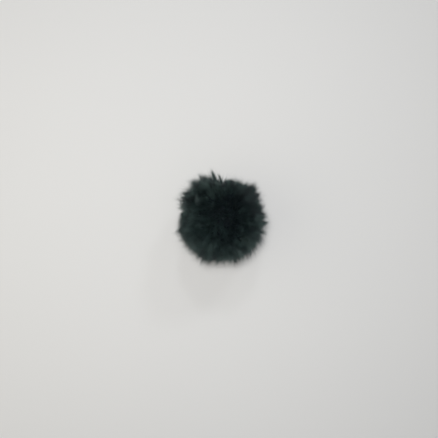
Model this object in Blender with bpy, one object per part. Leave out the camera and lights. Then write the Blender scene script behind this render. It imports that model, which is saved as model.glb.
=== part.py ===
"""A ball-shaped pom pom of dyed fur, as it lies on a flat surface.

A round of fur has its edge gathered in and tied, so that the hair stands out on every side.
The dense underfur next to the skin packs into one round backing. The longer hair stands out of
it in locks, each a three-sided wisp that swells a little, leans, and runs out to a point. The
locks under the ball are shorter and blunt, and they end level on the surface it lies on.

Units are metres. +Z is up, the surface is z = 0, and the origin is on it, under the middle of
the ball. +Y is the side where the longest tuft stands out. Bearings turn from +X towards +Y.
"""

import math
import random
from typing import NamedTuple

import bmesh
import bpy
from mathutils import Vector, noise

# Driving dimensions.
FUR_REACH = 0.0405  # from the middle of the ball to the ends of its locks, on average
BALL_HEIGHT = 0.0380  # the middle of the ball above the surface it lies on
BACKING_RADIUS = 0.0280  # the packed underfur, out to the roots of the locks
CORNERS = 150  # of the backing; each of its 2 * CORNERS - 4 faces carries one lock
ROOT_GAP = 0.0007  # between the roots of two locks

# How the locks lie.
CORNER_STRAY = 0.065  # a corner's step aside from its place in the spiral, as a share of the radius
REACH_STRAY = 0.0009  # a lock's length over or under that of its neighbours
TIP_STRAY = 0.035  # a tip's step aside, as a share of its reach
COMB = 0.18  # how far the locks of one area lean the same way, as a share of their reach
COMB_SPAN = 1.4  # areas that lean differently, for each radius of the ball
DROOP = 0.03  # how far the tips hang, as a share of their reach

# The locks that bear on the surface.
FOOT_WIDTH = 0.42  # of a bearing lock's end, as a share of the room that its neighbours leave it
LEAST_CLEARANCE = 0.0009  # a lock with its tip lower than this bears on the surface
HOLD = 4  # how closely the locks that don't lean keep to the foot of the ball

SEED = 12

DOWN = Vector((0, 0, -1))


class Ring(NamedTuple):
    """One section of a lock."""

    along: float  # share of the lock's length from its root
    width: float  # share of the room that its neighbours leave it there


LOCK_RINGS = (
    Ring(along=0.28, width=0.94),
    Ring(along=0.56, width=0.82),
    Ring(along=0.81, width=0.50),
    Ring(along=1.00, width=0.08),
)


class Rim(NamedTuple):
    """How far the fur reaches at the ball's widest height, at one bearing."""

    bearing_deg: float
    reach: float


RIM = (
    Rim(bearing_deg=5, reach=0.0405),
    Rim(bearing_deg=15, reach=0.0385),
    Rim(bearing_deg=30, reach=0.0410),
    Rim(bearing_deg=45, reach=0.0442),
    Rim(bearing_deg=58, reach=0.0409),
    Rim(bearing_deg=72, reach=0.0390),
    Rim(bearing_deg=85, reach=0.0364),
    Rim(bearing_deg=96, reach=0.0384),
    Rim(bearing_deg=108, reach=0.0419),
    Rim(bearing_deg=118, reach=0.0447),
    Rim(bearing_deg=135, reach=0.0427),
    Rim(bearing_deg=148, reach=0.0439),
    Rim(bearing_deg=160, reach=0.0404),
    Rim(bearing_deg=171, reach=0.0378),
    Rim(bearing_deg=186, reach=0.0394),
    Rim(bearing_deg=201, reach=0.0423),
    Rim(bearing_deg=216, reach=0.0400),
    Rim(bearing_deg=246, reach=0.0422),
    Rim(bearing_deg=273, reach=0.0390),
    Rim(bearing_deg=290, reach=0.0414),
    Rim(bearing_deg=303, reach=0.0409),
    Rim(bearing_deg=327, reach=0.0424),
    Rim(bearing_deg=349, reach=0.0401),
)


class Tuft(NamedTuple):
    """A lock that stands out of its neighbours, by where its tip is."""

    bearing_deg: float
    rise_deg: float  # above the ball's widest height
    reach: float


TUFTS = (
    Tuft(bearing_deg=100.5, rise_deg=4, reach=0.0470),
    Tuft(bearing_deg=115, rise_deg=6, reach=0.0456),
    Tuft(bearing_deg=92, rise_deg=9, reach=0.0412),
    Tuft(bearing_deg=151, rise_deg=3, reach=0.0440),
    Tuft(bearing_deg=45, rise_deg=5, reach=0.0451),
    Tuft(bearing_deg=204, rise_deg=2, reach=0.0426),
    Tuft(bearing_deg=288, rise_deg=3, reach=0.0422),
    Tuft(bearing_deg=356, rise_deg=5, reach=0.0426),
)

DYED_FUR = {
    "Base Color": (0.010, 0.026, 0.025, 1.0),
    "Roughness": 0.62,
    "Metallic": 0.0,
    "Sheen Weight": 0.35,
}


def clear_scene():
    """Removes every object that the file opened with."""
    for obj in list(bpy.data.objects):
        bpy.data.objects.remove(obj)


def fur_material():
    """The dark green of the dyed hair."""
    material = bpy.data.materials.new("dyed_fur")
    material.use_nodes = True
    shader = material.node_tree.nodes["Principled BSDF"]
    for socket, value in DYED_FUR.items():
        shader.inputs[socket].default_value = value
    return material


def direction(bearing_deg, rise_deg):
    """The unit vector from the middle of the ball at a bearing and a rise."""
    bearing = math.radians(bearing_deg)
    rise = math.radians(rise_deg)
    level = math.cos(rise)
    return Vector((level * math.cos(bearing), level * math.sin(bearing), math.sin(rise)))


def rim_reach(bearing_deg):
    """The reach at the widest height, eased from one row of RIM to the next."""
    for row, after in zip(RIM, RIM[1:] + RIM[:1]):
        span = (after.bearing_deg - row.bearing_deg) % 360
        past = (bearing_deg - row.bearing_deg) % 360
        if past <= span:
            share = 0.5 - 0.5 * math.cos(math.pi * past / span)
            return row.reach + (after.reach - row.reach) * share
    raise ValueError(f"no row of RIM holds {bearing_deg}")


def fur_reach(way):
    """How far the fur reaches in one direction: as RIM says level with the middle, and the
    average straight up and down."""
    level = math.hypot(way.x, way.y)
    bearing_deg = math.degrees(math.atan2(way.y, way.x)) % 360
    return FUR_REACH + (rim_reach(bearing_deg) - FUR_REACH) * level**2


def backing_corners(chance):
    """Points on the backing, evenly spread in a spiral from top to bottom and then strayed."""
    golden_turn = math.pi * (3 - math.sqrt(5))
    corners = []
    for step in range(CORNERS):
        height = 1 - (2 * step + 1) / CORNERS
        level = math.sqrt(1 - height * height)
        turn = golden_turn * step
        stray = Vector([chance.uniform(-1, 1) for _ in range(3)]) * CORNER_STRAY
        corner = Vector((level * math.cos(turn), level * math.sin(turn), height)) + stray
        corners.append(corner.normalized() * BACKING_RADIUS)
    return corners


def backing(corners):
    """The round backing about the origin, with one face for each lock, one of them straight
    down."""
    ball = bmesh.new()
    for corner in corners:
        ball.verts.new(corner)
    bmesh.ops.convex_hull(ball, input=ball.verts[:])
    bmesh.ops.recalc_face_normals(ball, faces=ball.faces[:])
    lowest = min(ball.faces, key=lambda face: face.calc_center_median().z)
    turn = lowest.calc_center_median().rotation_difference(DOWN)
    bmesh.ops.rotate(ball, matrix=turn.to_matrix(), verts=ball.verts[:])
    return ball


def move_nearest(tips, place):
    """Moves the tip that lies nearest to a place onto it."""
    nearest = min(range(len(tips)), key=lambda index: (tips[index] - place).length)
    tips[nearest] = place


def lock_tips(ways, chance):
    """Where each lock's tip lies, from the middle of the ball, for locks that root these ways."""
    tips = []
    for way in ways:
        combed = noise.noise_vector(way * COMB_SPAN) * COMB
        strayed = Vector([chance.uniform(-1, 1) for _ in range(3)]) * TIP_STRAY
        free = 1 - max(0, way.dot(DOWN)) ** HOLD
        aim = (way + (combed + strayed + DOWN * DROOP) * free).normalized()
        reach = fur_reach(aim) + chance.uniform(-REACH_STRAY, REACH_STRAY)
        tips.append(aim * reach)
    for tuft in TUFTS:
        move_nearest(tips, direction(tuft.bearing_deg, tuft.rise_deg) * tuft.reach)
    move_nearest(tips, DOWN * BALL_HEIGHT)
    return tips


def rested(tip):
    """The tip, and whether its lock bears on the surface: one that would go through it is
    shorter, and ends on it."""
    depth = tip.dot(DOWN)
    bears = depth > BALL_HEIGHT - LEAST_CLEARANCE
    return (tip * (BALL_HEIGHT / depth) if bears else tip), bears


def ring_places(root, tip, bears, ring):
    """The corners of one ring of a lock.

    The lock starts straight out of the ball and leans more and more towards its tip. The room
    between its neighbours widens with the distance from the middle of the ball. The end of a
    lock that bears on the surface is level.
    """
    middle = sum(root, Vector()) / len(root)
    way = middle.normalized()
    straight = way * (tip.length - middle.length)
    lean = tip - way * tip.length
    place = middle + straight * ring.along + lean * ring.along**2
    ends = bears and ring.along == 1
    width = FOOT_WIDTH if ends else ring.width
    room = place.length / middle.length
    corners = [place + (corner - middle) * room * width for corner in root]
    if ends:
        for corner in corners:
            corner.z = tip.z
    return corners


def grow_locks(ball, chance):
    """Draws a lock out of each face of the backing."""
    number = ball.faces.layers.int.new("lock")
    ball.faces.ensure_lookup_table()
    for index, face in enumerate(ball.faces):
        face[number] = index
    faces = ball.faces[:]
    ways = [face.calc_center_median().normalized() for face in faces]
    locks = [rested(tip) for tip in lock_tips(ways, chance)]
    bmesh.ops.inset_individual(ball, faces=faces, thickness=ROOT_GAP / 2, use_even_offset=True)
    roots = {face[number]: [corner.co.copy() for corner in face.verts] for face in faces}
    for ring in LOCK_RINGS:
        faces = bmesh.ops.extrude_discrete_faces(ball, faces=faces)["faces"]
        for face in faces:
            tip, bears = locks[face[number]]
            places = ring_places(roots[face[number]], tip, bears, ring)
            for corner, place in zip(face.verts, places):
                corner.co = place


def build_pom_pom():
    """The whole pom pom, one piece of fur."""
    chance = random.Random(SEED)
    noise.seed_set(SEED)
    ball = backing(backing_corners(chance))
    grow_locks(ball, chance)
    bmesh.ops.translate(ball, verts=ball.verts[:], vec=(0, 0, BALL_HEIGHT))
    mesh = bpy.data.meshes.new("fur_ball")
    ball.to_mesh(mesh)
    ball.free()
    mesh.shade_smooth()
    mesh.set_sharp_from_angle(angle=math.radians(50))
    mesh.materials.append(fur_material())
    pom_pom = bpy.data.objects.new("fur_ball", mesh)
    bpy.context.scene.collection.objects.link(pom_pom)
    return pom_pom


clear_scene()
build_pom_pom()
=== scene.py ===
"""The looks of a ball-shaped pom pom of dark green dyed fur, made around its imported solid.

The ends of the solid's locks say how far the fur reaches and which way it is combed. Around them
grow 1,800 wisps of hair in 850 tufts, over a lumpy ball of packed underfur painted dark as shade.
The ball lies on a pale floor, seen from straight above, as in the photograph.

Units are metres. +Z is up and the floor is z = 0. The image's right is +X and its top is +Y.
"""

import logging
import math
from dataclasses import dataclass
from enum import Enum

import bmesh
import bpy
import numpy as np
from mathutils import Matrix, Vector, noise


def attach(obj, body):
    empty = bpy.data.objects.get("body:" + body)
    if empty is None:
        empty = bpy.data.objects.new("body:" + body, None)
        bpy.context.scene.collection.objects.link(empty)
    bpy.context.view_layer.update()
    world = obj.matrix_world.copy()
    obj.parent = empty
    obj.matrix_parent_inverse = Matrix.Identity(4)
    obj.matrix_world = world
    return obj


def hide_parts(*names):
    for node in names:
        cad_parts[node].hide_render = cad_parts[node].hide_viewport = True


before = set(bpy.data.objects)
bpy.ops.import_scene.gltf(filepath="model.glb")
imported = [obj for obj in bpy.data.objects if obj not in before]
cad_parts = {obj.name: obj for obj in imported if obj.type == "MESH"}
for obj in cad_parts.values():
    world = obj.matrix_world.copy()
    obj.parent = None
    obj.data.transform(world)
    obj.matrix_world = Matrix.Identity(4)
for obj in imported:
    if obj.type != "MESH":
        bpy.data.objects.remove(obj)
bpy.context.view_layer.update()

LOG = logging.getLogger("pom_pom")

SOLID = "fur_ball"
BODY = "root"
BALL_HEIGHT = 0.0380  # the middle of the ball above the floor
HAIR_MAP = "OFBake"  # the hairs' own map: the shade across it, root to tip up it
SEED = 12
UP = Vector((0, 0, 1))
GOLDEN_TURN = math.pi * (3 - math.sqrt(5))
STEEP = 0.9  # a way that rises or falls more than this is crossed with +X, any other with +Z
TINY = 1e-9  # keeps a length that is divided by from being nothing


def unit(rows: np.ndarray) -> np.ndarray:
    """Each row scaled to a length of 1."""
    return rows / np.linalg.norm(rows, axis=-1, keepdims=True)


def mixed(first: np.ndarray, second: np.ndarray, share: np.ndarray) -> np.ndarray:
    """Each row moved by its share of the way from the first to the second."""
    return first + (second - first) * np.asarray(share)[..., None]


def mixed_by(first: float, second: float, share: np.ndarray) -> np.ndarray:
    """Numbers from the first to the second, by share."""
    return first + (second - first) * share


def towards(bearing_deg: float, rise_deg: float) -> np.ndarray:
    """The unit row at a bearing, from +X towards +Y, and a rise over the level."""
    bearing, rise = math.radians(bearing_deg), math.radians(rise_deg)
    level = math.cos(rise)
    return np.array([level * math.cos(bearing), level * math.sin(bearing), math.sin(rise)])


def turned(rows: np.ndarray, angle: float) -> np.ndarray:
    """Each row turned about the vertical by an angle in radians."""
    cosine, sine = math.cos(angle), math.sin(angle)
    return rows @ np.array([[cosine, sine, 0], [-sine, cosine, 0], [0, 0, 1]])


def sideways(ways: np.ndarray) -> tuple[np.ndarray, np.ndarray]:
    """Two unit rows for each way, at right angles to it and to each other."""
    helper = np.where(np.abs(ways[:, 2:]) < STEEP, [[0.0, 0.0, 1.0]], [[1.0, 0.0, 0.0]])
    first = unit(np.cross(helper, ways))
    return first, np.cross(ways, first)


@dataclass(frozen=True)
class Shade:
    """One colour of the dye, as linear light, by its place in the range of shades."""

    place: float
    red: float
    green: float
    blue: float

    def colour(self) -> tuple[float, float, float, float]:
        """The colour as a node's socket takes it."""
        return (self.red, self.green, self.blue, 1.0)


DYE = (
    Shade(place=0.00, red=0.0048, green=0.0092, blue=0.0122),
    Shade(place=0.30, red=0.0115, green=0.0230, blue=0.0255),
    Shade(place=0.55, red=0.0205, green=0.0400, blue=0.0400),
    Shade(place=0.80, red=0.0400, green=0.0740, blue=0.0700),
    Shade(place=1.00, red=0.0850, green=0.1300, blue=0.1210),
)


Feed = bpy.types.NodeSocket | float | tuple[float, ...]  # what an input of a node takes


@dataclass(frozen=True)
class Nodes:
    """The shader nodes of a material or of a group."""

    tree: bpy.types.NodeTree

    def add(
        self, kind: str, inputs: dict[str, Feed], **settings: str | bpy.types.NodeTree
    ) -> bpy.types.Node:
        """Adds a node.

        Args:
            kind: its type.
            inputs: what its inputs take, by their names.
            settings: its own settings.

        Returns:
            The node.
        """
        node = self.tree.nodes.new(kind)
        for name, value in settings.items():
            setattr(node, name, value)
        self.feed(node, inputs)
        return node

    def feed(self, node: bpy.types.Node, inputs: dict[str, Feed]) -> None:
        """Links a node's inputs to the outputs of others, or sets them."""
        for name, source in inputs.items():
            if isinstance(source, bpy.types.NodeSocket):
                self.tree.links.new(source, node.inputs[name])
            else:
                node.inputs[name].default_value = source


@dataclass(frozen=True)
class DyeGroup:
    """The node group that every material of the fur takes its colour from.

    It turns a hair's shade, and the place between its root and its tip, into a colour, a
    roughness and the height of its fine scales. The colour is painted darker towards the root, as
    shade.
    """

    name: str = "dyed_hair"
    # the roots' colour: bluish black, painted darker than the dye as the shade deep in the fur
    roots: Shade = Shade(place=0.0, red=0.0042, green=0.0061, blue=0.0090)
    depth: tuple[float, float] = (0.05, 0.95)  # from the roots' colour to the dye's, up the hair: painted shade that lifts towards the tip
    root_roughness: float = 0.60
    tip_roughness: float = 0.34
    scale_noise: float = 60.0  # grains across the range of shades, and from root to tip

    def build(self) -> bpy.types.NodeTree:
        """Makes the group once.

        Returns:
            The node group, with inputs Shade and Along, and outputs Colour, Roughness, Height.
        """
        tree = bpy.data.node_groups.new(self.name, "ShaderNodeTree")
        for name in ("Shade", "Along"):
            tree.interface.new_socket(name, in_out="INPUT", socket_type="NodeSocketFloat")
        tree.interface.new_socket("Colour", in_out="OUTPUT", socket_type="NodeSocketColor")
        for name in ("Roughness", "Height"):
            tree.interface.new_socket(name, in_out="OUTPUT", socket_type="NodeSocketFloat")
        nodes = Nodes(tree)
        given = nodes.add("NodeGroupInput", {})
        shade, along = given.outputs["Shade"], given.outputs["Along"]

        dye = nodes.add("ShaderNodeValToRGB", {"Fac": shade})
        stops = dye.color_ramp.elements
        for row in DYE[1:-1]:
            stops.new(row.place)
        for stop, row in zip(stops, DYE):
            stop.position = row.place
            stop.color = row.colour()
        depth = nodes.add(
            "ShaderNodeMapRange",
            {"Value": along, "From Min": self.depth[0], "From Max": self.depth[1]},
            interpolation_type="SMOOTHSTEP",
        ).outputs["Result"]
        colour = nodes.add(
            "ShaderNodeMix",
            {"Factor": depth, "A": self.roots.colour(), "B": dye.outputs["Color"]},
            data_type="RGBA",
        )
        rough = nodes.add(
            "ShaderNodeMapRange",
            {"Value": along, "To Min": self.root_roughness, "To Max": self.tip_roughness},
        )
        at = nodes.add("ShaderNodeCombineXYZ", {"X": shade, "Y": along}).outputs["Vector"]
        scales = nodes.add("ShaderNodeTexNoise", {"Vector": at, "Scale": self.scale_noise})
        results = {
            "Colour": colour.outputs["Result"],
            "Roughness": rough.outputs["Result"],
            "Height": scales.outputs["Fac"],
        }
        nodes.add("NodeGroupOutput", results)
        return tree


@dataclass
class Finish:
    """A material with one Principled shader."""

    name: str

    def __post_init__(self) -> None:
        """Makes the material."""
        self.material = bpy.data.materials.new(self.name)
        self.material.use_nodes = True
        self.nodes = Nodes(self.material.node_tree)

    def shade(self, inputs: dict[str, Feed]) -> None:
        """Links the shader's own inputs, or sets them."""
        self.nodes.feed(self.nodes.tree.nodes["Principled BSDF"], inputs)

    def dye(
        self, tree: bpy.types.NodeTree, shade: bpy.types.NodeSocket, along: bpy.types.NodeSocket
    ) -> bpy.types.NodeSocket:
        """Gives the shader the dye's colour and roughness.

        Args:
            tree: the group that DyeGroup made.
            shade: the place in the range of shades.
            along: the place between root and tip.

        Returns:
            The height of the hair's fine scales.
        """
        inputs = {"Shade": shade, "Along": along}
        outputs = self.nodes.add("ShaderNodeGroup", inputs, node_tree=tree).outputs
        self.shade({"Base Color": outputs["Colour"], "Roughness": outputs["Roughness"]})
        return outputs["Height"]

    def bump(self, height: bpy.types.NodeSocket, strength: float, distance: float) -> None:
        """Bends the shader's normal by a height."""
        inputs = {"Height": height, "Strength": strength, "Distance": distance}
        self.shade({"Normal": self.nodes.add("ShaderNodeBump", inputs).outputs["Normal"]})

    def grains(self, scale: float, detail: float = 2.0) -> bpy.types.NodeSocket:
        """Noise on the object's own coordinates, its scale in grains for each metre."""
        place = self.nodes.add("ShaderNodeTexCoord", {}).outputs["Object"]
        inputs = {"Vector": place, "Scale": scale, "Detail": detail}
        return self.nodes.add("ShaderNodeTexNoise", inputs).outputs["Fac"]

    def ranged(
        self, source: bpy.types.NodeSocket, lowest: float, highest: float
    ) -> bpy.types.NodeSocket:
        """A value from 0 to 1, spread from the lowest to the highest."""
        inputs = {"Value": source, "To Min": lowest, "To Max": highest}
        return self.nodes.add("ShaderNodeMapRange", inputs).outputs["Result"]


@dataclass(frozen=True)
class HairFinish:
    """Dyed hair: its shade is read across the hairs' map, and root to tip up it."""

    name: str = "dyed_hair"
    specular: float = 1.0
    gloss: tuple[float, float, float, float] = (0.85, 1.0, 1.0, 1.0)
    bump_strength: float = 0.15
    scale_height: float = 0.00002  # of the fine scales

    def build(self, dye: bpy.types.NodeTree) -> bpy.types.Material:
        """Makes the material.

        Args:
            dye: the group that DyeGroup made.

        Returns:
            The material.
        """
        finish = Finish(self.name)
        place = finish.nodes.add("ShaderNodeUVMap", {}, uv_map=HAIR_MAP).outputs["UV"]
        apart = finish.nodes.add("ShaderNodeSeparateXYZ", {"Vector": place})
        scales = finish.dye(dye, shade=apart.outputs["X"], along=apart.outputs["Y"])
        finish.bump(scales, self.bump_strength, self.scale_height)
        finish.shade({"Specular IOR Level": self.specular, "Specular Tint": self.gloss})
        return finish.material


@dataclass(frozen=True)
class UnderfurFinish:
    """Packed underfur: the darkest shades, in soft clumps, painted dark as the shade deep under the
    hair.
    """

    name: str = "packed_underfur"
    clumps: float = 260.0  # for each metre
    curls: float = 1900.0  # of wool, for each metre
    curl_detail: float = 4.0
    lightest: float = 0.4  # of its shades, kept low as painted shade
    depth: float = 0.5  # how far from its roots it shows, the dark roots' colour being painted shade
    bump_strength: float = 0.6
    curl_height: float = 0.0006
    specular: float = 0.05

    def build(self, dye: bpy.types.NodeTree) -> bpy.types.Material:
        """Makes the material.

        Args:
            dye: the group that DyeGroup made.

        Returns:
            The material.
        """
        finish = Finish(self.name)
        wool = finish.grains(self.curls, self.curl_detail)
        shade = finish.ranged(finish.grains(self.clumps), 0.0, self.lightest)
        finish.dye(dye, shade=shade, along=finish.ranged(wool, 0.0, self.depth))
        finish.bump(wool, self.bump_strength, self.curl_height)
        finish.shade({"Specular IOR Level": self.specular})
        return finish.material


@dataclass(frozen=True)
class FloorFinish:
    """A plain pale surface, very slightly uneven."""

    name: str = "pale_surface"
    colour: tuple[float, float, float] = (0.730, 0.728, 0.728)
    clouds: float = 3.0  # for each metre
    uneven: tuple[float, float] = (0.985, 1.015)  # its darkest and its lightest
    roughness: float = 0.85
    specular: float = 0.2

    def build(self) -> bpy.types.Material:
        """Makes the material.

        Returns:
            The material.
        """
        finish = Finish(self.name)
        shade = finish.ranged(finish.grains(self.clouds), *self.uneven)
        inputs = {"Vector": self.colour, "Scale": shade}
        tinted = finish.nodes.add("ShaderNodeVectorMath", inputs, operation="SCALE")
        finish.shade({"Base Color": tinted.outputs["Vector"]})
        finish.shade({"Roughness": self.roughness, "Specular IOR Level": self.specular})
        return finish.material


@dataclass(frozen=True)
class Locks:
    """The ends of the solid's locks, measured from the middle of the ball."""

    ends: np.ndarray
    spikes: np.ndarray  # those that stand well out, which ends leaves out
    tip_size: float = 1.0e-6  # the end of a lock is a triangle smaller than this
    facing: float = 0.85  # which faces outwards at least this squarely
    far_out: float = 0.034  # and is at least this far out
    level: float = 1.0e-5  # or, under the ball, the end is no further than this from the floor
    neighbours: int = 7
    stands_out: float = 0.0024  # how far a spike ends past the average of its neighbours
    near: float = 450.0  # how closely reach() keeps to the ends near a way

    @classmethod
    def of(cls, solid: bpy.types.Object) -> "Locks":
        """Finds the ends of the locks.

        Args:
            solid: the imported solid.

        Returns:
            The ends: the small triangles far out, and the level ones on the floor.
        """
        middle = UP * BALL_HEIGHT
        found = []
        for face in solid.data.polygons:
            end = face.center - middle
            on_floor = abs(face.center.z) < cls.level
            faces_out = face.normal.dot(end.normalized()) > cls.facing
            is_tip = faces_out and face.area < cls.tip_size and end.length > cls.far_out
            if on_floor or is_tip:
                found.append(end)
        ends = np.array(found)
        ways, lengths = unit(ends), np.linalg.norm(ends, axis=1)
        nearest_first = np.argsort(-(ways @ ways.T), axis=1)
        around = nearest_first[:, 1 : 1 + cls.neighbours]
        out = lengths - lengths[around].mean(axis=1) > cls.stands_out
        return cls(ends=ends[~out], spikes=ends[out])

    def reach(self, ways: np.ndarray) -> np.ndarray:
        """How far the locks reach on average near each way.

        Args:
            ways: unit rows from the middle of the ball.

        Returns:
            One length for each way.
        """
        close = np.exp(self.near * (ways @ unit(self.ends).T - 1))
        return close @ np.linalg.norm(self.ends, axis=1) / close.sum(axis=1)

    def nearest(self, places: np.ndarray) -> np.ndarray:
        """The end of the lock nearest to each place.

        Args:
            places: places measured from the middle of the ball.

        Returns:
            One end for each place.
        """
        return self.ends[(unit(places) @ unit(self.ends).T).argmax(axis=1)]


@dataclass(frozen=True)
class Parting:
    """A line up the side of the ball from which the hair is combed away both ways."""

    bearing_deg: float  # from +X towards +Y
    lowest_deg: float  # its lower end, over the ball's widest height
    highest_deg: float
    lean: float  # as a share of the reach
    shorter: float  # what the hair in the line lacks, as a share of the reach
    span: float = 0.13  # how far from the line the hair leans, as a share of the radius
    fade_deg: float = 12.0  # past its ends, to where it no longer tells

    def nearness(self, ways: np.ndarray) -> tuple[np.ndarray, np.ndarray]:
        """How near each way is to the line.

        Args:
            ways: unit rows from the middle of the ball.

        Returns:
            From 0 far away to 1 on the line, and which side of the line each is on, 1 or -1.
        """
        bearings = np.arctan2(ways[:, 1], ways[:, 0]) - math.radians(self.bearing_deg)
        aside = np.hypot(ways[:, 0], ways[:, 1]) * ((bearings + math.pi) % (2 * math.pi) - math.pi)
        rises = np.degrees(np.arcsin(ways[:, 2]))
        beyond = np.maximum(self.lowest_deg - rises, rises - self.highest_deg)
        ends = np.clip(1 - beyond / self.fade_deg, 0, 1)
        return np.exp(-((aside / self.span) ** 2)) * ends, np.sign(aside)


PARTINGS = (
    Parting(bearing_deg=88, lowest_deg=-30, highest_deg=30, lean=0.03, shorter=0.10, span=0.14),
    Parting(bearing_deg=133, lowest_deg=-20, highest_deg=25, lean=0.09, shorter=0.03),
    Parting(bearing_deg=165, lowest_deg=-20, highest_deg=25, lean=0.10, shorter=0.04),
)


@dataclass(frozen=True)
class Fringe:
    """Hair at the rim that is longer or shorter than the solid's locks, near one bearing."""

    bearing_deg: float  # from +X towards +Y
    change: float  # of its length, as a share of the reach
    span_deg: float  # to where the change has mostly faded
    rim_hold: int = 4  # how closely the change keeps to the rim

    def change_at(self, ways: np.ndarray) -> np.ndarray:
        """The change of length of the hair that aims each way."""
        bearings = np.degrees(np.arctan2(ways[:, 1], ways[:, 0]))
        apart = (bearings - self.bearing_deg + 180) % 360 - 180
        level = np.hypot(ways[:, 0], ways[:, 1])
        return self.change * level**self.rim_hold * np.exp(-((apart / self.span_deg) ** 2))


FRINGES = (
    Fringe(bearing_deg=0, change=0.030, span_deg=5),
    Fringe(bearing_deg=20, change=0.020, span_deg=5),
    Fringe(bearing_deg=30, change=-0.024, span_deg=4),
    Fringe(bearing_deg=39, change=0.055, span_deg=5),
    Fringe(bearing_deg=54, change=-0.044, span_deg=4),
    Fringe(bearing_deg=64, change=0.044, span_deg=6),
    Fringe(bearing_deg=79, change=0.020, span_deg=4),
    Fringe(bearing_deg=86, change=-0.046, span_deg=4),
    Fringe(bearing_deg=109, change=-0.032, span_deg=4),
    Fringe(bearing_deg=118, change=0.074, span_deg=4),
    Fringe(bearing_deg=133, change=0.042, span_deg=6),
    Fringe(bearing_deg=147, change=-0.018, span_deg=3),
    Fringe(bearing_deg=156, change=0.044, span_deg=6),
    Fringe(bearing_deg=163, change=-0.030, span_deg=3),
    Fringe(bearing_deg=180, change=-0.012, span_deg=13),
    Fringe(bearing_deg=200, change=0.034, span_deg=5),
    Fringe(bearing_deg=211, change=-0.026, span_deg=3),
    Fringe(bearing_deg=221, change=-0.012, span_deg=8),
    Fringe(bearing_deg=260, change=-0.026, span_deg=16),
    Fringe(bearing_deg=290, change=0.020, span_deg=4),
    Fringe(bearing_deg=312, change=0.018, span_deg=3),
    Fringe(bearing_deg=339, change=0.032, span_deg=6),
)


@dataclass(frozen=True)
class Comb:
    """Which way the hair leans, alike over each area of the ball."""

    lean: float = 0.18  # as a share of the reach
    span: float = 1.4  # areas that lean differently, for each radius of the ball
    tousle: float = 0.10  # a finer lean on top of that, as a share of the reach
    tousle_span: float = 5.0
    swept: tuple[float, float, float] = (-0.02, -0.04, -0.03)  # all of it, forward and down
    hold: int = 4  # how closely the lesser lean keeps to the top and the foot
    line_hold: int = 4  # how closely the shorter hair keeps to the line of a parting
    partings: tuple[Parting, ...] = PARTINGS
    fringes: tuple[Fringe, ...] = FRINGES

    def aims(self, ways: np.ndarray) -> np.ndarray:
        """Where hair that is rooted each way aims.

        Args:
            ways: unit rows from the middle of the ball.

        Returns:
            Unit rows.
        """
        broad = np.array([noise.noise_vector(Vector(way) * self.span) for way in ways])
        broad *= 1 - np.clip(ways[:, 2:], 0, 1) ** self.hold
        fine = np.array([noise.noise_vector(Vector(way) * self.tousle_span) for way in ways])
        free = 1 - np.clip(-ways[:, 2], 0, 1) ** self.hold
        leans = broad * self.lean + fine * self.tousle + np.array(self.swept)
        across = unit(np.cross(np.array(UP), ways))
        for parting in self.partings:
            nearness, side = parting.nearness(ways)
            leans += across * (nearness * side * parting.lean)[:, None]
        return unit(ways + leans * free[:, None])

    def lengths(self, ways: np.ndarray) -> np.ndarray:
        """How long the hair that aims each way is, as a share of the solid's reach."""
        shares = np.ones(len(ways))
        for parting in self.partings:
            shares -= parting.shorter * parting.nearness(ways)[0] ** self.line_hold
        for fringe in self.fringes:
            shares += fringe.change_at(ways)
        return shares


@dataclass(frozen=True)
class PaintedLight:
    """A soft-edged patch of the coat whose hair is painted lighter as sheen, or painted darker as
    shade.
    """

    bearing_deg: float  # from +X towards +Y
    rise_deg: float  # over the ball's widest height
    change: float  # of the shade, in its middle: up for painted sheen, down for painted shade
    span: float  # to where it has mostly faded, as a share of the radius

    def change_at(self, ways: np.ndarray) -> np.ndarray:
        """The change of shade of the hair that is rooted each way."""
        apart = np.linalg.norm(ways - towards(self.bearing_deg, self.rise_deg), axis=1)
        return self.change * np.exp(-((apart / self.span) ** 2))


# painted light and shade: sheen painted on the rim and on the tufts at 98, 160 and 225 degrees,
# shade painted on the side at 42 to 45 degrees
PAINTED_LIGHT = (
    PaintedLight(bearing_deg=42, rise_deg=38, change=-0.42, span=0.50),
    PaintedLight(bearing_deg=45, rise_deg=2, change=-0.65, span=0.28),
    PaintedLight(bearing_deg=0, rise_deg=16, change=0.24, span=0.30),
    PaintedLight(bearing_deg=84, rise_deg=8, change=0.65, span=0.26),
    PaintedLight(bearing_deg=98, rise_deg=38, change=0.60, span=0.25),
    PaintedLight(bearing_deg=160, rise_deg=48, change=0.32, span=0.45),
    PaintedLight(bearing_deg=190, rise_deg=14, change=0.20, span=0.40),
    PaintedLight(bearing_deg=272, rise_deg=6, change=0.75, span=0.42),
    PaintedLight(bearing_deg=318, rise_deg=12, change=0.40, span=0.42),
    PaintedLight(bearing_deg=225, rise_deg=35, change=0.26, span=0.45),
)


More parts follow.
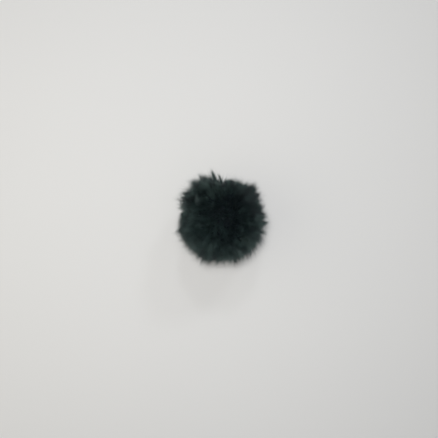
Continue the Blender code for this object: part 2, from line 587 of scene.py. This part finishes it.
@dataclass(frozen=True)
class Shading:
    """How light the hair is, from 0 to 1, partly painted light and shade: alike over an area, more
    mixed at the sides.
    """

    average: float = 0.46
    swing: float = 0.30  # over broad areas
    span: float = 2.2  # such areas, for each radius of the ball
    # the stronger mix at the sides is painted light and shade: the streaks of wisps seen side-on
    mixed: tuple[float, float] = (0.06, 0.75)  # how mixed, on the crown and at the sides
    mixed_hold: int = 3  # how closely the more mixed shades keep to the sides
    by_wisp: float = 0.7  # how far mixed shades differ by tuft, and again by wisp
    by_hair: float = 0.07  # how far all shades differ by hair
    # the patches of painted sheen and painted shade
    painted_light: tuple[PaintedLight, ...] = PAINTED_LIGHT

    def base(self, ways: np.ndarray) -> np.ndarray:
        """The shade that the hair rooted each way has in common with that around it, painted sheen
        and shade included.
        """
        swings = np.array([noise.noise(Vector(way) * self.span) for way in ways])
        shades = self.average + self.swing * swings
        for patch in self.painted_light:
            shades += patch.change_at(ways)
        return shades

    def mix(self, ways: np.ndarray) -> np.ndarray:
        """How mixed the shades of the hair rooted each way are: most at the sides, as painted
        streaks of light and shade.
        """
        crown, sides = self.mixed
        return mixed_by(crown, sides, np.hypot(ways[:, 0], ways[:, 1]) ** self.mixed_hold)


@dataclass(frozen=True)
class Spikes:
    """How the locks that stand out are laid, on those of the solid."""

    wisps: int = 3  # in each, and in each stray
    lean: float = 0.09  # round the ball, as an angle from its root to its tip
    turn: float = 0.035  # of its tip past the end of the solid's lock, likewise
    length: float = 1.03  # as a share of the lock's reach
    spread: float = 0.010  # of its wisps at their roots, as a share of the radius
    width: float = 0.0007  # of each of its wisps, at the root
    # painted light: the thin spikes are shown lighter, as lit hair
    shade: float = 0.75


@dataclass(frozen=True)
class Stray:
    """A lock that lies across the others, or stands a little out of them."""

    root: tuple[float, float]  # its bearing and its rise, in degrees
    tip: tuple[float, float]
    reach: float
    shade: float
    width: float  # of each of its wisps, at the root


STRAYS = (
    Stray(root=(152, 52), tip=(129, 37), reach=0.0415, shade=0.42, width=0.0020),
    Stray(root=(45, 6), tip=(50, 5), reach=0.0455, shade=0.10, width=0.0014),
    Stray(root=(31, 6), tip=(36, 5), reach=0.0434, shade=0.10, width=0.0014),
    Stray(root=(15, 6), tip=(18, 5), reach=0.0420, shade=0.20, width=0.0014),
    Stray(root=(291, 2), tip=(288, 3), reach=0.0432, shade=0.30, width=0.0014),
)


@dataclass(frozen=True)
class Bunching:
    """How the hair draws together at one scale: into tufts, or into the wisps of a tuft."""

    count: int  # on the whole ball
    waywardness: float  # a tip's step aside, as a share of its reach
    lengths: tuple[float, float]  # for a length of the fur of 1
    rarity: float  # of the long ones


TUFTS = Bunching(count=850, waywardness=0.05, lengths=(0.80, 1.36), rarity=2.2)
WISPS = Bunching(count=1800, waywardness=0.05, lengths=(0.765, 1.43), rarity=2.4)


@dataclass(frozen=True)
class Wisps:
    """The wisps of the coat, one row for each, measured from the middle of the ball."""

    ways: np.ndarray  # where each is rooted
    tips: np.ndarray
    shades: np.ndarray
    widths: np.ndarray  # of each at its root, from its middle
    root_radius: float
    knee: float = 0.55  # of their curve, straight out from the root, as a share of their length

    def axis(self, rows: np.ndarray, along: np.ndarray) -> np.ndarray:
        """Places on the wisps' middle lines.

        Args:
            rows: the wisp of each place.
            along: the share of its length from its root.

        Returns:
            One place for each row.
        """
        roots = self.ways[rows] * self.root_radius
        lengths = np.linalg.norm(self.tips[rows] - roots, axis=1)
        knees = roots + self.ways[rows] * lengths[:, None] * self.knee
        return mixed(mixed(roots, knees, along), mixed(knees, self.tips[rows], along), along)


@dataclass(frozen=True)
class Hairs:
    """Hairs by their root, the knee they bend at, and their tip, with what each looks like."""

    roots: np.ndarray
    knees: np.ndarray
    tips: np.ndarray
    thickness: np.ndarray
    shades: np.ndarray

    def take(self, rows: np.ndarray) -> "Hairs":
        """The hairs of these rows."""
        picked = (self.roots, self.knees, self.tips, self.thickness, self.shades)
        return Hairs(*(column[rows] for column in picked))


@dataclass(frozen=True)
class Sort:
    """One sort of hair, dealt evenly to the wisps."""

    name: str
    count: int  # on the whole ball
    rings: tuple[float, ...]  # where each can bend, from root to tip
    gather: float  # how far the tips of a wisp draw together
    shortest: float  # as a share of the wisp's length
    longest: float
    thickness: float
    stray: float  # a tip's step aside
    lighter: float  # its shade over that of its wisp


SORTS = (
    Sort(
        name="top hair",
        count=38000,
        rings=(0.42, 0.76),
        gather=0.78,
        shortest=0.56,
        longest=1.06,
        thickness=0.00018,
        stray=0.0012,
        lighter=0.0,
    ),
    Sort(
        name="underwool",
        count=26000,
        rings=(0.6,),
        gather=0.0,
        shortest=0.40,
        longest=0.85,
        thickness=0.00021,
        stray=0.0016,
        lighter=0.0,
    ),
    Sort(
        name="guard hair",
        count=5200,
        rings=(0.42, 0.76),
        gather=0.35,
        shortest=0.95,
        longest=1.22,
        thickness=0.00012,
        stray=0.0024,
        lighter=0.10,
    ),
)


class Region(Enum):
    """The parts of the coat, each a mesh of its own."""

    CROWN = "fur_crown"
    RIGHT = "fur_right"
    BACK = "fur_back"
    FRONT = "fur_front"
    BASE = "fur_base"


@dataclass
class Coat:
    """The hair of the ball: wisps around the solid's locks, and the hairs of each."""

    locks: Locks
    comb: Comb = Comb()
    shading: Shading = Shading()
    tufts: Bunching = TUFTS
    wisps: Bunching = WISPS
    root_radius: float = 0.0295
    root_stray: float = 0.4  # of a bunch off its place in the spiral, as a share of its room
    crowding: float = 1.15  # how far neighbouring wisps share their roots' room
    drawn: tuple[float, float] = (0.0, 0.60)  # a wisp's tip, towards that of its tuft
    pull: tuple[float, float] = (0.10, 0.45)  # a tuft's tip, towards the end of a lock
    pull_span: float = 0.22  # to where it has mostly faded, as a share of the reach
    spikes: Spikes = Spikes()
    strays: tuple[Stray, ...] = STRAYS
    shortness: float = 1.6  # how rare the shortest hairs are
    knee: float = 0.5  # of a hair's curve, straight out from its root, as a share of its length
    curl: float = 0.0005  # how far its knee is off the straight
    thick: tuple[float, float] = (0.8, 1.2)  # the thinnest and the thickest of a sort's hairs
    farthest: float = 0.0490  # that any hair reaches from the middle of the ball
    least_height: float = 0.00025  # of a hair over the floor
    pile: float = 0.0006  # how deep the hairs are that lie on the floor
    splay: float = 0.7  # how far outwards they move, as a share of their lift
    polar: float = 0.6  # the crown and the base start this far up and down
    seed: int = SEED

    def __post_init__(self) -> None:
        """Seeds the coat's own chance."""
        self.chance = np.random.default_rng(self.seed)

    def root_ways(self, many: int) -> np.ndarray:
        """Where so many bunches are rooted: a spiral over the ball, slightly uneven."""
        steps = np.arange(many)
        heights = 1 - (2 * steps + 1) / many
        levels = np.sqrt(1 - heights**2)
        turns = steps * GOLDEN_TURN
        even = np.stack([levels * np.cos(turns), levels * np.sin(turns), heights], axis=1)
        return unit(even + self.chance.normal(0, self.root_stray / math.sqrt(many), even.shape))

    def lay(self, bunching: Bunching) -> tuple[np.ndarray, np.ndarray, np.ndarray]:
        """Lays out bunches as the comb says.

        Args:
            bunching: how many there are, and how they vary.

        Returns:
            Where each is rooted, its tip at the fur's own reach, and its length as a share of
            that reach.
        """
        ways = self.root_ways(bunching.count)
        strayed = self.chance.normal(0, bunching.waywardness, ways.shape)
        aims = unit(self.comb.aims(ways) + strayed)
        tips = aims * (self.locks.reach(aims) * self.comb.lengths(aims))[:, None]
        rare = self.chance.uniform(0, 1, len(tips)) ** bunching.rarity
        return ways, tips, mixed_by(*bunching.lengths, rare)

    def grow_tufts(self) -> tuple[np.ndarray, np.ndarray]:
        """Lays out the tufts, drawn towards the ends of the locks.

        Returns:
            Where each is rooted, and its tip.
        """
        ways, tips, lengths = self.lay(self.tufts)
        ends = self.locks.nearest(tips)
        apart = np.linalg.norm(unit(ends) - unit(tips), axis=1)
        near = np.exp(-((apart / self.pull_span) ** 2))
        tips = mixed(tips, ends, self.chance.uniform(*self.pull, len(tips)) * near)
        return ways, mixed(ways * self.root_radius, tips, lengths)

    def grow_wisps(self) -> Wisps:
        """Lays out the wisps, drawn together into tufts.

        Returns:
            The wisps, and after them those of the locks that stand out and of the strays.
        """
        tuft_ways, tuft_tips = self.grow_tufts()
        ways, tips, lengths = self.lay(self.wisps)
        tips = mixed(ways * self.root_radius, tips, lengths)
        tuft = (ways @ tuft_ways.T).argmax(axis=1)
        tips = mixed(tips, tuft_tips[tuft], self.chance.uniform(*self.drawn, len(tips)))
        low = np.maximum(-tips[:, 2] / BALL_HEIGHT, 1)
        tips = tips / low[:, None]
        shades = self.wisp_shades(ways, tuft)
        widths = np.full(len(ways), self.crowding * 2 * self.root_radius / math.sqrt(len(ways)))
        more = self.grow_spikes()
        pairs = ((ways, more.ways), (tips, more.tips), (shades, more.shades), (widths, more.widths))
        return Wisps(*(np.concatenate(pair) for pair in pairs), self.root_radius)

    def wisp_shades(self, ways: np.ndarray, tuft: np.ndarray) -> np.ndarray:
        """The shade of each wisp.

        Args:
            ways: where each is rooted.
            tuft: the tuft that each belongs to.

        Returns:
            One shade for each, from 0 to 1.
        """
        by_tuft = self.chance.normal(0, self.shading.by_wisp, self.tufts.count)[tuft]
        by_wisp = self.chance.normal(0, self.shading.by_wisp, len(ways))
        strayed = self.shading.mix(ways) * (by_tuft + by_wisp)
        return np.clip(self.shading.base(ways) + strayed, 0, 1)

    def grow_spikes(self) -> Wisps:
        """Lays out the wisps of the locks that stand out, and then those of the strays."""
        spikes, ends = self.spikes, self.locks.spikes
        ways = list(turned(unit(ends), spikes.turn - spikes.lean))
        tips = list(turned(ends, spikes.turn) * spikes.length)
        shades = [spikes.shade] * len(ends)
        widths = [spikes.width] * len(ends)
        for stray in self.strays:
            ways.append(towards(*stray.root))
            tips.append(towards(*stray.tip) * stray.reach)
            shades.append(stray.shade)
            widths.append(stray.width)
        columns = (np.repeat(rows, spikes.wisps, axis=0) for rows in (ways, tips, shades, widths))
        ways, tips, shades, widths = columns
        ways = unit(ways + self.chance.normal(0, spikes.spread, ways.shape))
        return Wisps(ways, tips, shades, widths, self.root_radius)

    def grow_hairs(self, wisps: Wisps, sort: Sort) -> Hairs:
        """Grows one sort of hair in every wisp.

        Args:
            wisps: the coat's wisps.
            sort: the sort of hair.

        Returns:
            The hairs, clear of the floor.
        """
        many = sort.count
        rows = np.arange(many) % len(wisps.ways)
        ways = wisps.ways[rows]
        first, second = sideways(ways)
        turns = self.chance.uniform(0, 2 * math.pi, many)
        outer = self.chance.uniform(0, 1, many)
        spread = (wisps.widths[rows] * np.sqrt(outer))[:, None]
        asides = (first * np.cos(turns)[:, None] + second * np.sin(turns)[:, None]) * spread
        roots = unit(ways * self.root_radius + asides) * self.root_radius

        shorter = (outer + self.chance.uniform(0, 1, many) ** self.shortness) / 2
        along = sort.longest - (sort.longest - sort.shortest) * shorter
        middle = wisps.axis(rows, along)
        room = np.linalg.norm(middle, axis=1) / self.root_radius * (1 - sort.gather * along**2)
        tips = middle + asides * room[:, None] + self.chance.normal(0, sort.stray, (many, 3))
        tips *= np.minimum(self.farthest / np.linalg.norm(tips, axis=1), 1)[:, None]
        lengths = np.linalg.norm(tips - roots, axis=1)
        knees = roots + unit(roots) * (lengths * self.knee)[:, None]
        knees += self.chance.normal(0, self.curl, (many, 3))
        tips, knees = self.rested(tips), self.rested(knees)

        strayed = self.chance.normal(0, self.shading.by_hair, many)
        shades = wisps.shades[rows] + sort.lighter + strayed
        thickness = sort.thickness * self.chance.uniform(*self.thick, many)
        return Hairs(roots, knees, tips, thickness, np.clip(shades, 0, 1))

    def rested(self, places: np.ndarray) -> np.ndarray:
        """Lifts places that would be in the floor onto it, and splays them from the middle."""
        heights = places[:, 2] + BALL_HEIGHT
        least = self.least_height + self.chance.uniform(0, self.pile, len(places))
        sunk = np.maximum(least - heights, 0)
        outwards = unit(places[:, :2] + TINY) * (sunk * self.splay)[:, None]
        lifted = places.copy()
        lifted[:, :2] += outwards
        lifted[:, 2] += sunk
        return lifted

    def region_of(self, roots: np.ndarray) -> np.ndarray:
        """The number of the region that each hair is rooted in."""
        ways = unit(roots)
        regions = list(Region)
        sides = len(regions) - 2  # all but the crown and the base, the first and the last
        turns = np.arctan2(ways[:, 1], ways[:, 0]) / (2 * math.pi)
        side = ((turns + 1 / (2 * sides)) % 1 * sides).astype(int)
        number = 1 + np.clip(side, 0, sides - 1)
        number[ways[:, 2] > self.polar] = regions.index(Region.CROWN)
        number[ways[:, 2] < -self.polar] = regions.index(Region.BASE)
        return number

    def build(self, material: bpy.types.Material) -> list[bpy.types.Object]:
        """Grows all the hair.

        Args:
            material: the finish of the hair.

        Returns:
            One piece for each region.
        """
        wisps = self.grow_wisps()
        grown = []
        for sort in SORTS:
            grown.append((Strand(sort.rings), self.grow_hairs(wisps, sort)))
            LOG.info("%s: %d hairs", sort.name, sort.count)
        pieces = []
        for number, region in enumerate(Region):
            meshes = [
                strand.copies(hairs.take(self.region_of(hairs.roots) == number))
                for strand, hairs in grown
            ]
            piece = joined(region.value, meshes)
            piece.data.materials.append(material)
            pieces.append(piece)
        return pieces


@dataclass
class StrandMesh:
    """Many strands as the columns of one mesh."""

    places: np.ndarray  # one row for each point
    loops: np.ndarray  # the point at each corner of each face
    sizes: np.ndarray  # the corners of each face
    flat: np.ndarray  # whether each face is shaded flat
    map_places: np.ndarray  # one row for each corner


@dataclass
class Strand:
    """One hair as a closed, three-sided, tapering stem, and the mesh of many such hairs."""

    rings: tuple[float, ...]  # where the stem can bend, from root to tip
    sides: int = 3
    taper: float = 3.0  # how far up it keeps its width
    twist_deg: float = 20.0  # of its corners, so that none of its faces is edge-on on the map
    map_width: float = 0.006  # how far its corners lie off its shade on the map
    map_margin: float = 0.02  # left bare around the map

    def __post_init__(self) -> None:
        """Makes the pattern that every hair is a copy of."""
        stem = bmesh.new()
        bmesh.ops.create_cone(
            stem, cap_ends=True, segments=self.sides, radius1=1, radius2=0, depth=1
        )
        bmesh.ops.translate(stem, verts=stem.verts[:], vec=UP / 2)
        for ring in self.rings:
            geometry = stem.verts[:] + stem.edges[:] + stem.faces[:]
            bmesh.ops.bisect_plane(stem, geom=geometry, plane_co=UP * ring, plane_no=UP)
        bmesh.ops.recalc_face_normals(stem, faces=stem.faces[:])
        stem.verts.index_update()
        places = np.array([vert.co for vert in stem.verts])
        self.along = places[:, 2].clip(0, 1)
        self.turn = np.arctan2(places[:, 1], places[:, 0]) + math.radians(self.twist_deg)
        self.width = 1 - self.along**self.taper
        self.faces = [[vert.index for vert in face.verts] for face in stem.faces]
        self.flat = np.array([len(face.verts) == 3 for face in stem.faces])
        stem.free()

    def places(self, hairs: Hairs) -> np.ndarray:
        """Where the points of every hair are, from the middle of the ball.

        Args:
            hairs: the hairs.

        Returns:
            One row for each point, hair by hair.
        """
        along = self.along[None, :, None]
        roots, knees, tips = (x[:, None] for x in (hairs.roots, hairs.knees, hairs.tips))
        lower = roots + (knees - roots) * along
        upper = knees + (tips - knees) * along
        middle = lower + (upper - lower) * along
        forward = unit(upper - lower)
        side = np.broadcast_to(sideways(unit(hairs.tips - hairs.roots))[0][:, None], forward.shape)
        side = unit(side - forward * (side * forward).sum(axis=2, keepdims=True))
        other = np.cross(forward, side)
        reach = (self.width[None] * hairs.thickness[:, None] / 2)[..., None]
        around = side * np.cos(self.turn)[None, :, None] + other * np.sin(self.turn)[None, :, None]
        return (middle + around * reach).reshape(-1, 3)

    def map_places(self, hairs: Hairs) -> np.ndarray:
        """Where the points of every hair lie on their map."""
        across = hairs.shades[:, None] + self.map_width * np.cos(self.turn)[None]
        up = np.broadcast_to(self.along + self.map_width * np.sin(self.turn), across.shape)
        spread = np.stack([across, up], axis=2).reshape(-1, 2)
        return self.map_margin + (1 - 2 * self.map_margin) * np.clip(spread, 0, 1)

    def copies(self, hairs: Hairs) -> StrandMesh:
        """Makes the mesh of many hairs.

        Args:
            hairs: the hairs.

        Returns:
            The columns of their mesh.
        """
        many, points = len(hairs.shades), len(self.along)
        corners = np.concatenate(self.faces)
        loops = (np.arange(many)[:, None] * points + corners[None]).ravel()
        return StrandMesh(
            places=self.places(hairs),
            loops=loops,
            sizes=np.tile([len(face) for face in self.faces], many),
            flat=np.tile(self.flat, many),
            map_places=self.map_places(hairs)[loops],
        )


def joined(name: str, strands: list[StrandMesh]) -> bpy.types.Object:
    """Joins the meshes of several sorts of hair.

    Args:
        name: the piece's name.
        strands: the meshes, measured from the middle of the ball.

    Returns:
        The piece, in its place.
    """
    starts = np.cumsum([0] + [len(strand.places) for strand in strands])
    places = np.concatenate([strand.places for strand in strands]) + np.array(UP) * BALL_HEIGHT
    loops = np.concatenate([strand.loops + start for strand, start in zip(strands, starts)])
    sizes = np.concatenate([strand.sizes for strand in strands])
    flat = np.concatenate([strand.flat for strand in strands])
    spread = np.concatenate([strand.map_places for strand in strands])

    mesh = bpy.data.meshes.new(name)
    mesh.vertices.add(len(places))
    mesh.vertices.foreach_set("co", places.astype(np.float32).ravel())
    mesh.loops.add(len(loops))
    mesh.loops.foreach_set("vertex_index", loops.astype(np.int32))
    mesh.polygons.add(len(sizes))
    mesh.polygons.foreach_set("loop_start", (np.cumsum(sizes) - sizes).astype(np.int32))
    hair_map = mesh.uv_layers.new(name=HAIR_MAP)
    hair_map.uv.foreach_set("vector", spread.astype(np.float32).ravel())
    mesh.update(calc_edges=True)
    mesh.shade_smooth()
    sharp = mesh.attributes.new("sharp_face", "BOOLEAN", "FACE")
    sharp.data.foreach_set("value", flat)
    return placed(name, mesh)


def placed(name: str, mesh: bpy.types.Mesh) -> bpy.types.Object:
    """Puts a mesh into the scene as an object at the origin."""
    piece = bpy.data.objects.new(name, mesh)
    bpy.context.scene.collection.objects.link(piece)
    return piece


@dataclass
class Underfur:
    """The dark, lumpy ball of packed underfur that shows between the wisps, its darkness painted
    shade.
    """

    radius: float = 0.0325
    divisions: int = 6  # levels of its faces, each four times as fine as the last
    lump: float = 0.0012
    lump_span: float = 150.0  # lumps for each metre
    lump_layers: int = 3  # each finer and lower than the last
    lump_finer: float = 2.1  # how much finer
    lump_fade: float = 0.8  # how much lower
    flat_height: float = 0.0015  # its lowest part over the floor
    name: str = "packed_underfur"

    def build(self, material: bpy.types.Material) -> bpy.types.Object:
        """Makes the ball.

        Args:
            material: its finish.

        Returns:
            The piece, in its place.
        """
        ball = bmesh.new()
        bmesh.ops.create_icosphere(ball, subdivisions=self.divisions, radius=self.radius)
        for vert in ball.verts:
            way = vert.co.normalized()
            at = vert.co * self.lump_span
            height = noise.fractal(at, self.lump_fade, self.lump_finer, self.lump_layers)
            place = way * (self.radius + self.lump * height)
            place.z = max(place.z + BALL_HEIGHT, self.flat_height)
            vert.co = place
        bmesh.ops.recalc_face_normals(ball, faces=ball.faces[:])
        mesh = bpy.data.meshes.new(self.name)
        ball.to_mesh(mesh)
        ball.free()
        mesh.shade_smooth()
        mesh.materials.append(material)
        return placed(self.name, mesh)


@dataclass
class PomPom:
    """The whole pom pom: packed underfur and the coat of hair on it."""

    locks: Locks

    def build(self) -> list[bpy.types.Object]:
        """Makes the pieces, dresses them and puts them in the solid's place.

        Returns:
            The pieces.
        """
        dye = DyeGroup().build()
        pieces = [Underfur().build(UnderfurFinish().build(dye))]
        pieces += Coat(self.locks).build(HairFinish().build(dye))
        for piece in pieces:
            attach(piece, BODY)
            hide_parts(SOLID)
            triangles = sum(len(face.vertices) - 2 for face in piece.data.polygons)
            LOG.info("%s: %d triangles", piece.name, triangles)
        return pieces


@dataclass(frozen=True)
class Lamp:
    """A round lamp that faces the foot of the ball."""

    name: str
    distance: float  # from the foot of the ball
    steepness_deg: float  # from straight above
    bearing_deg: float  # from +X towards +Y
    size: float
    power: float
    tint: tuple[float, float, float]

    def place(self) -> Vector:
        """Where the lamp is."""
        return Vector(towards(self.bearing_deg, 90 - self.steepness_deg)) * self.distance


LAMPS = (
    Lamp(
        name="soft_key",
        distance=0.80,
        steepness_deg=7,
        bearing_deg=118,
        size=0.18,
        power=3.95,
        tint=(1.0, 0.995, 0.980),
    ),
    Lamp(
        name="weak_lamp_behind",
        distance=2.5,
        steepness_deg=43,
        bearing_deg=87,
        size=0.29,
        power=4.9,
        tint=(0.94, 0.98, 1.0),
    ),
    Lamp(
        name="weak_lamp_behind_right",
        distance=2.5,
        steepness_deg=52,
        bearing_deg=57,
        size=0.37,
        power=4.9,
        tint=(0.94, 0.98, 1.0),
    ),
    Lamp(
        name="warm_lamp_left",
        distance=0.60,
        steepness_deg=57,
        bearing_deg=186,
        size=0.80,
        power=0.75,
        tint=(1.0, 0.92, 0.74),
    ),
)


@dataclass
class Studio:
    """The floor, the soft light and the camera over the ball."""

    floor_side: float = 12.0
    camera_distance: float = 0.45  # from the middle of the ball
    picture_side: float = 438.0  # of the photograph, in pixels
    picture_span: float = 0.398  # what it takes in, level with the middle of the ball
    ball_pixel: tuple[float, float] = (221.1, 219.7)  # where it has the middle of the ball
    fill: float = 0.205  # how bright the sky is
    sky: tuple[float, float, float] = (0.985, 0.995, 1.0)

    def build(self) -> None:
        """Makes the floor, the lights and the camera."""
        self.make_floor()
        self.make_lights()
        self.make_camera()

    def make_floor(self) -> None:
        """A large plain floor under the ball."""
        floor = bmesh.new()
        bmesh.ops.create_grid(floor, x_segments=1, y_segments=1, size=self.floor_side / 2)
        mesh = bpy.data.meshes.new("pale_floor")
        floor.to_mesh(mesh)
        floor.free()
        mesh.materials.append(FloorFinish().build())
        placed("pale_floor", mesh)

    def make_lights(self) -> None:
        """The lamps, and an even pale sky."""
        for lamp in LAMPS:
            light = bpy.data.lights.new(lamp.name, "AREA")
            light.shape = "DISK"
            light.size = lamp.size
            light.energy = lamp.power
            light.color = lamp.tint
            source = bpy.data.objects.new(lamp.name, light)
            source.location = lamp.place()
            source.rotation_mode = "QUATERNION"
            source.rotation_quaternion = source.location.to_track_quat("Z", "Y")
            bpy.context.scene.collection.objects.link(source)
        world = bpy.data.worlds.new("pale_sky")
        world.use_nodes = True
        background = world.node_tree.nodes["Background"]
        background.inputs["Color"].default_value = (*self.sky, 1.0)
        background.inputs["Strength"].default_value = self.fill
        bpy.context.scene.world = world

    def make_camera(self) -> None:
        """A camera straight above, with the ball where the photograph has it."""
        pixel = self.picture_span / self.picture_side
        across = (self.picture_side / 2 - self.ball_pixel[0]) * pixel
        up = (self.ball_pixel[1] - self.picture_side / 2) * pixel
        data = bpy.data.cameras.new("camera")
        data.lens = data.sensor_width * self.camera_distance / self.picture_span
        camera = bpy.data.objects.new("camera", data)
        camera.location = (across, up, BALL_HEIGHT + self.camera_distance)
        bpy.context.scene.collection.objects.link(camera)
        bpy.context.scene.camera = camera
        bpy.context.scene.view_settings.view_transform = "Standard"


def main() -> None:
    """Builds the pom pom and the studio."""
    logging.basicConfig(level=logging.INFO, format="%(name)s: %(message)s")
    noise.seed_set(SEED)
    locks = Locks.of(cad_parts[SOLID])
    LOG.info("the solid has %d locks", len(locks.ends) + len(locks.spikes))
    pieces = PomPom(locks).build()
    LOG.info("the pom pom has %d pieces", len(pieces))
    Studio().build()


if __name__ == "__main__":
    main()
